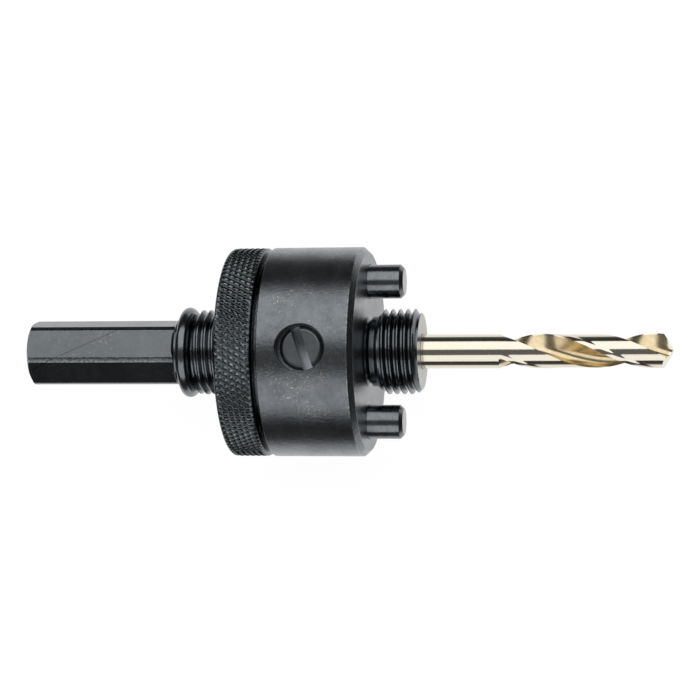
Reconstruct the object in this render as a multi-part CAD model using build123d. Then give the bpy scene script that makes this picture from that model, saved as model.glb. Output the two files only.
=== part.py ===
from build123d import *
import os
from math import asin, cos, degrees, pi, radians, sin, sqrt, tan

# Hole saw arbor, in millimetres. Its axis is X: the origin is on the axis at
# the barrel's front face, +X points to the drill's tip, and the set screw is
# on the +Z side. An angle round the axis is counted from +Y towards +Z.

# Spindle thread, the same on the nose and behind the barrel, drawn at its crests
thread_d = 15.875
thread_chamfer = 0.9
thread_gap = 0.05

# Nose that the saw screws on, with an undercut next to the barrel's face
neck_d = 13.0
neck_length = 1.73
undercut_d = 12.0
undercut_width = 0.8
nose_length = 8.2

# Drive pins and the circle that they stand on; what slides in the barrel is a little thicker
pin_d = 6.35
pin_guide_d = 6.45
pin_circle_d = 26.1
pin_reach = 6.56
pin_sink = 0.85
pin_chamfer = 0.7
pin_gap = 0.05
rivet_d = 5.0

# Barrel: its diameter follows from the wall outside the pins
pin_wall = 3.275
barrel_length = 17.6
barrel_chamfer = 1.0

# Knurled nut, and the plate that it pushes and pulls
nut_width = 6.8
nut_chamfer = 0.4
nut_stand_off = 1.1
nut_lip = 0.7
plate_flange = 1.8
plate_bite = 0.8
plate_rim = 0.125
plate_bore_gap = 0.16
seat_gap = 0.1

# Retaining ring in the nut
plate_ring_width = 1.0
plate_ring_groove = 0.7
plate_ring_opening = 30

# Stop ring behind the rear thread; its round wire is drawn with flats
wire_d = 2.45
stop_ring_d = 17.07
stop_ring_opening = 12
wire_sides = 10
wire_gap = 0.05

# Hexagon shank, with its corners turned off a little, and its collar
hex_flats = 11.11
hex_length = 28.1
hex_turn = 45.0
hex_corner_cut = 0.265
hex_end_d = 10.8
hex_end_slope = 0.6
collar_length = 1.15
collar_step = 0.3

# Set screw across the barrel
screw_d = 7.94
screw_x = -9.6
screw_recess = 1.9
screw_slot_width = 1.55
screw_slot_depth = 2.0
screw_slot_turn = -71.7
screw_tip_chamfer = 0.6
screw_face_chamfer = 0.15
screw_mouth_gap = 0.58
screw_mouth_depth = 2.5

# Pilot drill
drill_d = 6.35
drill_length = 76.2
drill_reach = 56.2
drill_gap = 0.05
drill_end_chamfer = 0.5
flute_length = 31.8
flute_lead = 40.9
flute_angle = 91
edge_x = 42.4
edge_turn = 92.5
run_out_wheel_r = 15
web = 1.1
web_corner = 0.5
core_slack = 0.15
margin_width = 0.7
land_step = 0.25
point_angle = 118
relief_angle = 16
flute_flats = 5
land_flats = 3
run_out_flats = 4

# Radii and stations worked out from the sizes above
thread_r = thread_d / 2
neck_r = neck_d / 2
undercut_r = undercut_d / 2
pin_r = pin_d / 2
pin_guide_r = pin_guide_d / 2
pin_circle_r = pin_circle_d / 2
barrel_r = pin_circle_r + pin_r + pin_wall
drill_r = drill_d / 2
bore_r = drill_r + drill_gap
screw_r = screw_d / 2

barrel_rear = -barrel_length
nose_end = neck_length + nose_length

nut_front = barrel_rear - nut_stand_off
nut_rear = nut_front - nut_width
plate_front = barrel_rear - seat_gap
ring_seat_front = nut_front - nut_lip
ring_seat_rear = ring_seat_front - plate_ring_width - seat_gap
recess_floor = ring_seat_rear - plate_flange - seat_gap
plate_boss_r = pin_circle_r + pin_guide_r + plate_rim
plate_flange_r = plate_boss_r + plate_bite
recess_r = plate_flange_r + seat_gap
ring_seat_r = recess_r + plate_ring_groove
nut_bore_r = thread_r + thread_gap

nut_travel = pin_reach + pin_sink
rear_thread_end = nut_rear - nut_travel - seat_gap
wire_r = wire_d / 2
groove_r = wire_r + wire_gap
stop_ring_x = rear_thread_end - groove_r
stop_ring_r = stop_ring_d / 2 - wire_r

hex_point_r = hex_flats / 2 / cos(pi / 6)
hex_corner_r = hex_point_r - hex_corner_cut
collar_r = hex_corner_r + collar_step
hex_front = stop_ring_x - groove_r - collar_length
hex_end = hex_front - hex_length

drill_end = drill_reach - drill_length
bore_end = drill_end - seat_gap
flute_start = drill_reach - flute_length
section_corner_turn = degrees(asin(web / 2 / drill_r))


def turned(*corners):
    """Solid of revolution about X, from the corners of its outline as (x, radius)."""
    return revolve(make_face(Polyline(*corners, close=True)), Axis.X)


def round_bar(x_start, x_end, radius, y=0):
    """Round bar along X, at a distance y from the axis."""
    disc = Plane(origin=(x_start, y, 0), x_dir=(0, 1, 0), z_dir=(1, 0, 0)) * Circle(radius)
    return extrude(disc, x_end - x_start)


def hexagon_shank():
    """Hexagon bar with turned corners and a coned end, up to the collar."""
    cross = Plane(origin=(hex_end, 0, 0), x_dir=(0, 1, 0), z_dir=(1, 0, 0))
    hexagon = RegularPolygon(hex_point_r, 6, rotation=hex_turn)
    bar = extrude(cross * hexagon, hex_length)
    cone_length = (hex_corner_r - hex_end_d / 2) * hex_end_slope
    envelope = turned(
        (hex_end, 0),
        (hex_end, hex_end_d / 2),
        (hex_end + cone_length, hex_corner_r),
        (hex_front, hex_corner_r),
        (hex_front, 0),
    )
    return bar & envelope


def turned_blank():
    """Collar, ring groove, rear thread, barrel, undercut, neck and nose, as turned."""
    neck_rise = thread_r - neck_r
    return turned(
        (hex_front, 0),
        (hex_front, collar_r),
        (stop_ring_x - groove_r, collar_r),
        (stop_ring_x - groove_r, stop_ring_r - groove_r),
        (rear_thread_end, stop_ring_r - groove_r),
        (rear_thread_end, thread_r - thread_chamfer),
        (rear_thread_end + thread_chamfer, thread_r),
        (barrel_rear, thread_r),
        (barrel_rear, barrel_r),
        (-barrel_chamfer, barrel_r),
        (0, barrel_r - barrel_chamfer),
        (0, undercut_r),
        (undercut_width, undercut_r),
        (undercut_width, neck_r),
        (neck_length, neck_r),
        (neck_length + neck_rise, thread_r),
        (nose_end - thread_chamfer, thread_r),
        (nose_end, thread_r - thread_chamfer),
        (nose_end, 0),
    )


def drill_bore():
    """Blind bore for the pilot drill, with a drilled bottom and a broken edge at its mouth."""
    cone = bore_r / tan(radians(point_angle / 2))
    mouth = 2 * seat_gap
    return turned(
        (bore_end - cone, 0),
        (bore_end, bore_r),
        (nose_end - mouth, bore_r),
        (nose_end, bore_r + mouth),
        (nose_end + mouth, bore_r + mouth),
        (nose_end + mouth, 0),
    )


def screw_hole():
    """Radial hole for the set screw, down to the drill bore, with a wide mouth."""
    hole = Pos(screw_x, 0, 0) * Cylinder(
        screw_r + thread_gap, barrel_r, align=(Align.CENTER, Align.CENTER, Align.MIN)
    )
    mouth = Pos(screw_x, 0, barrel_r - screw_mouth_depth) * Cylinder(
        screw_r + screw_mouth_gap,
        screw_mouth_depth,
        align=(Align.CENTER, Align.CENTER, Align.MIN),
    )
    return hole + mouth


def make_arbor_body():
    """The one steel piece that everything else is mounted on."""
    body = hexagon_shank() + turned_blank() - drill_bore() - screw_hole()
    for side in (1, -1):
        body -= round_bar(barrel_rear, 0, pin_guide_r + pin_gap, side * pin_circle_r)
    return body


def make_stop_ring():
    """Wire ring sprung into its groove, open on the side away from the set screw."""
    section = Pos(stop_ring_x, stop_ring_r) * RegularPolygon(wire_r, wire_sides)
    ring = revolve(section, Axis.X, revolution_arc=360 - stop_ring_opening)
    return Rot(-90 + stop_ring_opening / 2, 0, 0) * ring


def make_knurled_nut():
    """Nut with a recess for the pin plate and a groove for its ring; the knurl is left off."""
    return turned(
        (nut_rear, nut_bore_r),
        (nut_rear, barrel_r - nut_chamfer),
        (nut_rear + nut_chamfer, barrel_r),
        (nut_front - nut_chamfer, barrel_r),
        (nut_front, barrel_r - nut_chamfer),
        (nut_front, recess_r),
        (ring_seat_front, recess_r),
        (ring_seat_front, ring_seat_r),
        (ring_seat_rear, ring_seat_r),
        (ring_seat_rear, recess_r),
        (recess_floor, recess_r),
        (recess_floor, nut_bore_r),
    )


def make_plate_ring():
    """Flat split ring in the nut's groove, in front of the plate's flange."""
    side = seat_gap / 2
    section = make_face(
        Polyline(
            (ring_seat_rear + side, plate_boss_r + 2 * seat_gap),
            (ring_seat_front - side, plate_boss_r + 2 * seat_gap),
            (ring_seat_front - side, ring_seat_r - side),
            (ring_seat_rear + side, ring_seat_r - side),
            close=True,
        )
    )
    ring = revolve(section, Axis.X, revolution_arc=360 - plate_ring_opening)
    return Rot(-90 + plate_ring_opening / 2, 0, 0) * ring


def make_pin_plate():
    """Stepped plate: its flange is held in the nut and its boss meets the barrel."""
    plate_bore_r = thread_r + plate_bore_gap
    flange_rear = recess_floor + seat_gap / 2
    flange_front = flange_rear + plate_flange
    plate = turned(
        (flange_rear, plate_bore_r),
        (flange_rear, plate_flange_r),
        (flange_front, plate_flange_r),
        (flange_front, plate_boss_r),
        (plate_front, plate_boss_r),
        (plate_front, plate_bore_r),
    )
    for side in (1, -1):
        plate -= round_bar(flange_rear, plate_front, rivet_d / 2, side * pin_circle_r)
    return plate


def make_drive_pin(side):
    """Pin with a coned end, a guided length and a thinner tail that is riveted in the plate."""
    pin = turned(
        (pin_reach, 0),
        (pin_reach, pin_r - pin_chamfer),
        (pin_reach - pin_chamfer, pin_r),
        (0, pin_r),
        (0, pin_guide_r),
        (plate_front, pin_guide_r),
        (plate_front, rivet_d / 2),
        (recess_floor + seat_gap / 2, rivet_d / 2),
        (recess_floor + seat_gap / 2, 0),
    )
    return Pos(0, side * pin_circle_r, 0) * pin


def make_set_screw():
    """Headless slotted screw that bears on the drill's shank."""
    tip = bore_r
    face = barrel_r - screw_recess
    outline = Polyline(
        (0, 0, tip),
        (screw_r - screw_tip_chamfer, 0, tip),
        (screw_r, 0, tip + screw_tip_chamfer),
        (screw_r, 0, face - screw_face_chamfer),
        (screw_r - screw_face_chamfer, 0, face),
        (0, 0, face),
        close=True,
    )
    screw = revolve(make_face(outline), Axis.Z)
    slot = Box(
        screw_d * 2,
        screw_slot_width,
        screw_slot_depth,
        align=(Align.CENTER, Align.CENTER, Align.MAX),
    )
    screw -= Pos(0, 0, face) * Rot(0, 0, screw_slot_turn) * slot
    return Pos(screw_x, 0, 0) * screw


def fluted_section():
    """Cross-section of the two lands, with the first cutting edge's corner just above +X."""
    half_web = web / 2
    land_r = drill_r - land_step
    corner_turn = section_corner_turn
    margin_turn = degrees(margin_width / drill_r)
    heel_turn = corner_turn + flute_angle

    def polar(radius, turn):
        return (radius * cos(radians(turn)), radius * sin(radians(turn)))

    edges = []
    for half in (0, 180):
        corner = polar(drill_r, half + corner_turn)
        inner = (web_corner * cos(radians(half)), half_web * cos(radians(half)))
        heel = polar(land_r, half + heel_turn)
        margin_end = polar(drill_r, half + 180 + corner_turn - margin_turn)
        step_foot = polar(land_r, half + 180 + corner_turn - margin_turn)
        next_corner = polar(drill_r, half + 180 + corner_turn)
        land_middle = polar(land_r, half + (heel_turn + 180 + corner_turn - margin_turn) / 2)
        flute = TangentArc(inner, heel, tangent=(-cos(radians(half)), 0))
        land = ThreePointArc(heel, land_middle, step_foot)
        edges += [
            Line(corner, inner),
            Polyline([flute @ (i / flute_flats) for i in range(flute_flats + 1)]),
            Polyline([land @ (i / land_flats) for i in range(land_flats + 1)]),
            Line(step_foot, margin_end),
            Line(margin_end, next_corner),
        ]
    return make_face(edges).face()


def make_pilot_drill():
    """Right-hand twist drill: plain shank, two flutes with run-outs, and a ground point."""
    slope = tan(radians(90 - point_angle / 2))
    fall = tan(radians(relief_angle))
    corner_x = drill_reach - drill_r * slope
    section_turn = edge_turn + 360 * (corner_x - edge_x) / flute_lead - section_corner_turn
    twist_to_corner = 360 * (corner_x - flute_start) / flute_lead
    cross = Plane(origin=(flute_start, 0, 0), x_dir=(0, 1, 0), z_dir=(1, 0, 0))

    lands = Rot(0, 0, -twist_to_corner) * Solid.extrude_linear_with_rotation(
        fluted_section(), (0, 0, 0), (0, 0, flute_length), 360 * flute_length / flute_lead
    )
    for half in (1, -1):
        flank = Plane(origin=(0, 0, flute_length), z_dir=(half * slope, -half * fall, 1))
        lands = split(lands, flank, keep=Keep.BOTTOM)

    core_depth = drill_r - web / 2 + core_slack
    run_out = sqrt(2 * run_out_wheel_r * core_depth)
    core_r = drill_r - core_depth
    run_out_arc = ThreePointArc(
        (drill_r, 0),
        (core_r + core_depth / 4, run_out / 2),
        (core_r, run_out),
    )
    core_outline = [
        Polyline((core_r, run_out), (0, run_out), (0, 0), (drill_r, 0)),
        Polyline([run_out_arc @ (i / run_out_flats) for i in range(run_out_flats + 1)]),
    ]
    core = revolve(Plane.XZ * make_face(core_outline), Axis.Z)

    shank = turned(
        (drill_end, 0),
        (drill_end, drill_r - drill_end_chamfer),
        (drill_end + drill_end_chamfer, drill_r),
        (flute_start, drill_r),
        (flute_start, 0),
    )
    return shank + cross.location * Rot(0, 0, section_turn) * (lands + core)


pieces = {
    "arbor_body": make_arbor_body(),
    "stop_ring": make_stop_ring(),
    "knurled_nut": make_knurled_nut(),
    "plate_ring": make_plate_ring(),
    "pin_plate": make_pin_plate(),
    "drive_pin_1": make_drive_pin(1),
    "drive_pin_2": make_drive_pin(-1),
    "set_screw": make_set_screw(),
    "pilot_drill": make_pilot_drill(),
}

os.makedirs("parts", exist_ok=True)
for name, piece in pieces.items():
    export_step(piece, f"parts/{name}.step")
print(f"The nut travels {nut_travel:.3f} mm, and the hexagon ends at X {hex_end:.3f}")
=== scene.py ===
from math import acos, cos, pi, radians, sin, sqrt, tan

import bmesh
import bpy
import numpy as np
from mathutils import Matrix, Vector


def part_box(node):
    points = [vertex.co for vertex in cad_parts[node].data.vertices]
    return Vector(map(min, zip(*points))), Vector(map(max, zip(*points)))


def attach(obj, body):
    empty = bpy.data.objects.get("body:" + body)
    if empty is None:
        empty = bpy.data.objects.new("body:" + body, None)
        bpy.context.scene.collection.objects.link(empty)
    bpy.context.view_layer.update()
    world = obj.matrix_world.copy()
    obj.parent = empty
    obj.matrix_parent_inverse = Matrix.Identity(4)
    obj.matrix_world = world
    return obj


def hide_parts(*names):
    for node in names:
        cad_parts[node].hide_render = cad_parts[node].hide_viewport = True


# Hole saw arbor of black oxide steel with a straw-coloured pilot drill. Shapes are
# worked out in millimetres: X is the axis, the origin is the barrel's front face, the
# set screw is on +Z, and a turn is counted from +Y towards +Z. Blender's own units
# are metres, so every mesh is scaled by mm when it is made.

mm = 0.001
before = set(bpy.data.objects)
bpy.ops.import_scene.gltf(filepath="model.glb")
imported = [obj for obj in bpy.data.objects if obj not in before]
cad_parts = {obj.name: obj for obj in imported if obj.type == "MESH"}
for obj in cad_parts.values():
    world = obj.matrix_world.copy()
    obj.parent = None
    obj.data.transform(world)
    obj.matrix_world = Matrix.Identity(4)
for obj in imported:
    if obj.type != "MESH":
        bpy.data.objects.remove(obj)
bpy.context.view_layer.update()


# Lowest and highest corner of a solid of the frame, in millimetres
def nodeBox(name):
    low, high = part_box(name)
    return np.array(low) / mm, np.array(high) / mm


bodyLow, bodyHigh = nodeBox("arbor_body")
nutLow, nutHigh = nodeBox("knurled_nut")
ringLow, ringHigh = nodeBox("stop_ring")
plateFront = nodeBox("pin_plate")[1][0]
pinLow, pinHigh = nodeBox("drive_pin_1")
screwLow, screwHigh = nodeBox("set_screw")
drillLow, drillHigh = nodeBox("pilot_drill")
barrelRadius = bodyHigh[1]
drillRadius = (drillHigh[1] - drillLow[1]) / 2
screwCentre = (screwLow[0] + screwHigh[0]) / 2
pinCircleRadius = (pinLow[1] + pinHigh[1]) / 2
print("frame loaded")


# A mesh object from points in millimetres and faces, smooth-shaded, with its faces
# turned outwards and every edge that bends by more than sharpAngle kept crisp
def meshObject(name, points, faces, sharpAngle=32.0):
    mesh = bpy.data.meshes.new(name)
    mesh.from_pydata(np.asarray(points).reshape(-1, 3) * mm, [], faces)
    item = bpy.data.objects.new(name, mesh)
    bpy.context.scene.collection.objects.link(item)
    tidyMesh(item, sharpAngle)
    return item


# The points of a mesh, in millimetres
def meshPoints(item):
    points = np.empty(len(item.data.vertices) * 3)
    item.data.vertices.foreach_get("co", points)
    return points.reshape(-1, 3) / mm


# Merges points that coincide, so that seams and poles close, and turns the faces out
def tidyMesh(item, sharpAngle=32.0):
    work = bmesh.new()
    work.from_mesh(item.data)
    bmesh.ops.remove_doubles(work, verts=work.verts, dist=0.0004 * mm)
    bmesh.ops.recalc_face_normals(work, faces=work.faces)
    work.to_mesh(item.data)
    work.free()
    item.data.shade_smooth()
    item.data.set_sharp_from_angle(angle=radians(sharpAngle))


# Quads of a grid of points: point (i, j) joins (i + 1, j) and (i, j + 1), and the rows
# wrap round where the outline is a closed loop. The last column joins the first one at
# row seam[i]: its own row, or one further by a whole pitch where a thread climbs
def gridFaces(rows, columns, closedRows, seam=None):
    row = np.arange(rows)
    index = row[:, None] * columns + np.arange(columns + 1)[None, :]
    index[:, columns] = (row if seam is None else seam) * columns
    here = row if closedRows else row[:-1]
    below = (here + 1) % rows
    corners = (index[here, :-1], index[here, 1:], index[below, 1:], index[below, :-1])
    faces = np.stack(corners, -1).reshape(-1, 4)
    return faces[faces[:, 1] != faces[:, 2]]


# Points at (x, radius) and an angle round the X axis: y is radius times the cosine of
# the angle, and z is radius times its sine. x and radius may differ from column to column
def aroundAxis(x, radius, turn):
    x, radius, turn = np.broadcast_arrays(x, radius, turn)
    return np.stack([x, radius * np.cos(turn), radius * np.sin(turn)], -1)


# Evenly spaced angles of a full turn, in radians
def evenTurns(count):
    return np.arange(count) * 2 * pi / count


# An outline of corners (x, radius, round) with each corner replaced by an arc of that
# round, and a point a little outside each end of the arc that keeps the flats flat
def softOutline(corners, closed=True, steps=4, hold=0.05):
    points = []
    count = len(corners)
    for i, (x, r, soft) in enumerate(corners):
        here = np.array([x, r], float)
        if not soft or (not closed and i in (0, count - 1)):
            points.append(here)
            continue
        back = np.array(corners[i - 1][:2], float) - here
        ahead = np.array(corners[(i + 1) % count][:2], float) - here
        backLength, aheadLength = np.linalg.norm(back), np.linalg.norm(ahead)
        back, ahead = back / backLength, ahead / aheadLength
        half = np.arccos(np.clip(back @ ahead, -1, 1)) / 2
        reach = min(soft / tan(half), 0.48 * backLength, 0.48 * aheadLength)
        radius = reach * tan(half)
        centre = here + (back + ahead) / np.linalg.norm(back + ahead) * radius / sin(half)
        start, end = here + back * reach - centre, here + ahead * reach - centre
        points.append(here + back * min(reach + hold, 0.5 * backLength))
        for share in np.linspace(0, 1, steps + 1):
            spoke = start * (1 - share) + end * share
            points.append(centre + spoke / np.linalg.norm(spoke) * radius)
        points.append(here + ahead * min(reach + hold, 0.5 * aheadLength))
    return np.array(points)


# A turned piece: an outline of (x, radius) points swept round an axis along X
# that stands at (y, z). A closed outline gives a ring with a bore
def latheObject(name, outline, columns=192, closed=True, y=0.0, z=0.0, sharpAngle=32.0):
    outline = np.asarray(outline, float)
    grid = aroundAxis(outline[:, :1], outline[:, 1:], evenTurns(columns)[None, :])
    grid = grid + np.array([0, y, z])
    faces = gridFaces(len(outline), columns, closed)
    return meshObject(name, grid, faces, sharpAngle)


# The same sweep round the set screw's axis, which is vertical: (height, radius) points
def uprightLathe(name, outline, columns=128, sharpAngle=32.0):
    outline = np.asarray(outline, float)
    turns = evenTurns(columns)[None, :]
    height, radius = outline[:, :1], outline[:, 1:]
    grid = np.stack(
        [
            screwCentre + radius * np.cos(turns),
            radius * np.sin(turns),
            height + 0 * turns,
        ],
        -1,
    )
    return meshObject(name, grid, gridFaces(len(outline), columns, False), sharpAngle)


# Cuts one mesh with another, or joins them, and removes the second
def combine(item, other, operation, sharpAngle=32.0):
    modifier = item.modifiers.new("combine", "BOOLEAN")
    modifier.operation = operation
    modifier.solver = "EXACT"
    modifier.object = other
    graph = bpy.context.evaluated_depsgraph_get()
    result = bpy.data.meshes.new_from_object(item.evaluated_get(graph))
    item.modifiers.clear()
    old, item.data = item.data, result
    result.name = item.name
    bpy.data.meshes.remove(old)
    bpy.data.objects.remove(other)
    tidyMesh(item, sharpAngle)


# Stores how far each point lies on a pale edge or crest, from 0 to 1, for the finishes that paint
# it paler: as wear, and on some pieces as a painted highlight
def writeEdges(item, amount):
    item.data.attributes.new("edge", "FLOAT", "POINT").data.foreach_set("value", amount)


# Gives the faces that a test picks, by their centres and normals, a second finish
def finishFaces(item, material, pick):
    polygons = item.data.polygons
    centres, normals = np.empty(len(polygons) * 3), np.empty(len(polygons) * 3)
    polygons.foreach_get("center", centres)
    polygons.foreach_get("normal", normals)
    picked = pick(centres.reshape(-1, 3) / mm, normals.reshape(-1, 3))
    item.data.materials.append(material)
    polygons.foreach_set("material_index", picked.astype(np.int32))


# A finished piece: it moves with its body, stands for its solid and takes its finish
def fitPiece(item, body, node, material):
    item.data.materials.clear()
    item.data.materials.append(material)
    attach(item, body)
    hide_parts(node)


threadSettings = {
    "pitch": 25.4 / 18,
    "outside": 7.9375,  # radius over the crests
    "depth": 0.866,
    "crestHalf": 0.09,
    "rootHalf": 0.12,
}


# Radius of the thread at an axial distance from the middle of a crest: flat on the
# crest, falling along a straight flank to the root, and repeated at each pitch
def threadRadius(distance):
    pitch = threadSettings["pitch"]
    away = np.abs((distance + pitch / 2) % pitch - pitch / 2)
    flank = pitch / 2 - threadSettings["crestHalf"] - threadSettings["rootHalf"]
    fall = np.clip((away - threadSettings["crestHalf"]) / flank, 0, 1)
    return threadSettings["outside"] - threadSettings["depth"] * fall


# Places of the rows within one pitch, counted from the middle of a crest: the crest's
# middle and edge, the flank's middle, and the root's edge and middle
def pitchPlaces():
    half, crest = threadSettings["pitch"] / 2, threadSettings["crestHalf"]
    foot = half - threadSettings["rootHalf"]
    places = np.array([crest, (crest + foot) / 2, foot])
    return np.concatenate([-places[::-1], [0], places, [half]])


# Rows of a right-hand thread between two stations. Each row follows the helix: its x
# grows by one pitch in a turn, and where it would leave the thread it stops at the
# end plane. The radius is the thread's or the envelope's, whichever is less
def threadRows(start, end, crestX, turns, envelope):
    pitch, places = threadSettings["pitch"], pitchPlaces()
    first = int(np.floor((start - crestX) / pitch)) - 1
    last = int(np.ceil((end - crestX) / pitch))
    rows = (np.arange(first, last + 1)[:, None] * pitch + places[None, :]).ravel() + crestX
    x = np.clip(rows[:, None] + pitch * turns[None, :] / (2 * pi), start, end)
    radius = threadRadius(x - crestX - pitch * turns[None, :] / (2 * pi))
    return x, np.minimum(radius, envelope(x))


# Where each row of a piece is joined after a full turn: the rows of its thread, which
# follow the first few plain ones, meet the row one pitch further, up to the last
def threadSeam(before, threaded, after):
    row = np.arange(before + threaded + after)
    climbed = np.minimum(row + len(pitchPlaces()), before + threaded - 1)
    inThread = (row >= before) & (row < before + threaded)
    return np.where(inThread, climbed, row)


# Gives a socket its value, or a link where the value is another node's output
def feed(tree, value, socket):
    if isinstance(value, bpy.types.NodeSocket):
        tree.links.new(value, socket)
    else:
        socket.default_value = value


# A node with its properties and inputs set in one call
def addNode(tree, kind, values=None, **properties):
    item = tree.nodes.new(kind)
    for key, value in properties.items():
        setattr(item, key, value)
    for key, value in (values or {}).items():
        feed(tree, value, item.inputs[key])
    return item


# The result of one calculation on values in their order
def calculate(tree, operation, *values, **properties):
    inputs = dict(enumerate(values))
    return addNode(tree, "ShaderNodeMath", inputs, operation=operation, **properties).outputs[0]


# Noise over a vector, with the settings given
def noise(tree, vector, settings):
    return addNode(tree, "ShaderNodeTexNoise", {"Vector": vector} | settings).outputs["Fac"]


# A value carried evenly from one range to another, and held at its ends
def remap(tree, value, fromLow, fromHigh, toLow=0.0, toHigh=1.0):
    inputs = {"Value": value, "From Min": fromLow, "From Max": fromHigh}
    inputs |= {"To Min": toLow, "To Max": toHigh}
    return addNode(tree, "ShaderNodeMapRange", inputs).outputs[0]


# The first colour turning into the second as the factor goes from 0 to 1
def mixColours(tree, factor, first, second):
    inputs = {0: factor, 6: first, 7: second}
    return addNode(tree, "ShaderNodeMix", inputs, data_type="RGBA").outputs[2]


# The normal tilted by a height whose full step is depth, in millimetres
def bumpNormal(tree, height, depth, strength=1.0, before=None):
    inputs = {"Strength": strength, "Distance": depth * mm, "Height": height}
    if before:
        inputs["Normal"] = before
    return addNode(tree, "ShaderNodeBump", inputs).outputs["Normal"]


# The node that splits a vector, and the distance from the X axis: the length of y and z
def fromAxis(tree, vector):
    split = addNode(tree, "ShaderNodeSeparateXYZ", {0: vector})
    across = {"Y": split.outputs["Y"], "Z": split.outputs["Z"]}
    flat = addNode(tree, "ShaderNodeCombineXYZ", across).outputs[0]
    length = addNode(tree, "ShaderNodeVectorMath", {0: flat}, operation="LENGTH")
    return split, length.outputs["Value"]


# An empty node group with named inputs and outputs
def newGroup(name, inputs, outputs):
    tree = bpy.data.node_groups.new(name, "ShaderNodeTree")
    for label, kind, value in inputs:
        socket = tree.interface.new_socket(label, in_out="INPUT", socket_type=kind)
        if value is not None:
            socket.default_value = value
    for label, kind in outputs:
        tree.interface.new_socket(label, in_out="OUTPUT", socket_type=kind)
    return tree, tree.nodes.new("NodeGroupInput").outputs, tree.nodes.new("NodeGroupOutput").inputs


# Lathe marks: noise that is fine along the axis and along the radius but long round
# the turn, so that it makes rings on a cylinder and on a face alike
def makeTurnedMarks():
    tree, given, out = newGroup(
        "turnedMarks",
        (
            ("Vector", "NodeSocketVector", None),
            ("Fineness", "NodeSocketFloat", 2600.0),
            ("Wander", "NodeSocketFloat", 0.00008),
        ),
        (("Height", "NodeSocketFloat"), ("Streak", "NodeSocketFloat")),
    )
    split, radius = fromAxis(tree, given["Vector"])
    drift = noise(tree, given["Vector"], {"Scale": 130.0, "Detail": 1.0})
    sway = calculate(tree, "MULTIPLY", drift, given["Wander"])
    along = calculate(tree, "ADD", split.outputs["X"], sway)
    place = addNode(tree, "ShaderNodeCombineXYZ", {"X": along, "Y": radius}).outputs[0]
    settings = {"Scale": given["Fineness"], "Detail": 3.0, "Roughness": 0.7}
    feed(tree, noise(tree, place, settings), out["Height"])
    feed(tree, noise(tree, place, {"Scale": 420.0, "Detail": 3.0}), out["Streak"])
    return tree


# Scuffs: small pale specks, gathered in patches
def makeScuffs():
    tree, given, out = newGroup(
        "scuffs",
        (
            ("Vector", "NodeSocketVector", None),
            ("Speck Size", "NodeSocketFloat", 2400.0),
            ("Amount", "NodeSocketFloat", 0.5),
        ),
        (("Mask", "NodeSocketFloat"),),
    )
    settings = {"Scale": given["Speck Size"], "Detail": 3.0, "Roughness": 0.65}
    grain = remap(tree, noise(tree, given["Vector"], settings), 0.6, 0.7)
    patch = noise(tree, given["Vector"], {"Scale": 150.0, "Detail": 2.0})
    gathered = calculate(tree, "MULTIPLY", grain, remap(tree, patch, 0.46, 0.68))
    feed(tree, calculate(tree, "MULTIPLY", gathered, given["Amount"]), out["Mask"])
    return tree


# Dents: shallow uneven knocks, as a height
def makeDents():
    tree, given, out = newGroup(
        "dents",
        (("Vector", "NodeSocketVector", None), ("Dent Size", "NodeSocketFloat", 1100.0)),
        (("Height", "NodeSocketFloat"),),
    )
    settings = {"Scale": given["Dent Size"], "Detail": 3.0, "Roughness": 0.8}
    feed(tree, noise(tree, given["Vector"], settings), out["Height"])
    return tree


# Rub and glint: a crest or edge attribute broken up by noise, as where the oxide has worn off, and
# on some finishes a painted highlight on crests and corners
def makeRubAndGlint():
    tree, given, out = newGroup(
        "rubAndGlint",
        (
            ("Vector", "NodeSocketVector", None),
            ("Edge", "NodeSocketFloat", 0.0),
            ("Amount", "NodeSocketFloat", 0.5),
        ),
        (("Mask", "NodeSocketFloat"),),
    )
    broken = noise(tree, given["Vector"], {"Scale": 2200.0, "Detail": 3.0, "Roughness": 0.7})
    wearAndGlint = calculate(tree, "MULTIPLY", remap(tree, broken, 0.44, 0.64), given["Edge"])
    share = calculate(tree, "MULTIPLY", wearAndGlint, given["Amount"], use_clamp=True)
    feed(tree, share, out["Mask"])
    return tree


# Hairline: one straight scratch, where y keeps to a sloping line over x, between two
# stations and on the side that faces +Z
def makeHairline():
    tree, given, out = newGroup(
        "hairline",
        (
            ("Vector", "NodeSocketVector", None),
            ("Slope", "NodeSocketFloat", 0.45),
            ("Offset", "NodeSocketFloat", 0.0),
            ("Half Width", "NodeSocketFloat", 0.00005),
            ("Start", "NodeSocketFloat", 0.0),
            ("End", "NodeSocketFloat", 0.0),
        ),
        (("Mask", "NodeSocketFloat"),),
    )
    x, y, z = addNode(tree, "ShaderNodeSeparateXYZ", {0: given["Vector"]}).outputs
    line = calculate(tree, "MULTIPLY_ADD", x, given["Slope"], given["Offset"])
    mask = calculate(tree, "COMPARE", y, line, given["Half Width"])
    for limit in (
        calculate(tree, "GREATER_THAN", x, given["Start"]),
        calculate(tree, "LESS_THAN", x, given["End"]),
        calculate(tree, "GREATER_THAN", z, 0.0),
    ):
        mask = calculate(tree, "MULTIPLY", mask, limit)
    feed(tree, mask, out["Mask"])
    return tree


# Cloud: soft uneven tone of the oxide, from 0 to 1
def makeOxideTone():
    tree, given, out = newGroup(
        "oxideTone",
        (("Vector", "NodeSocketVector", None), ("Patch Size", "NodeSocketFloat", 90.0)),
        (("Tone", "NodeSocketFloat"),),
    )
    settings = {"Scale": given["Patch Size"], "Detail": 6.0, "Roughness": 0.85}
    feed(tree, remap(tree, noise(tree, given["Vector"], settings), 0.3, 0.7), out["Tone"])
    return tree


turnedMarks = makeTurnedMarks()
scuffs = makeScuffs()
dents = makeDents()
rubAndGlint = makeRubAndGlint()
hairline = makeHairline()
oxideTone = makeOxideTone()


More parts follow.
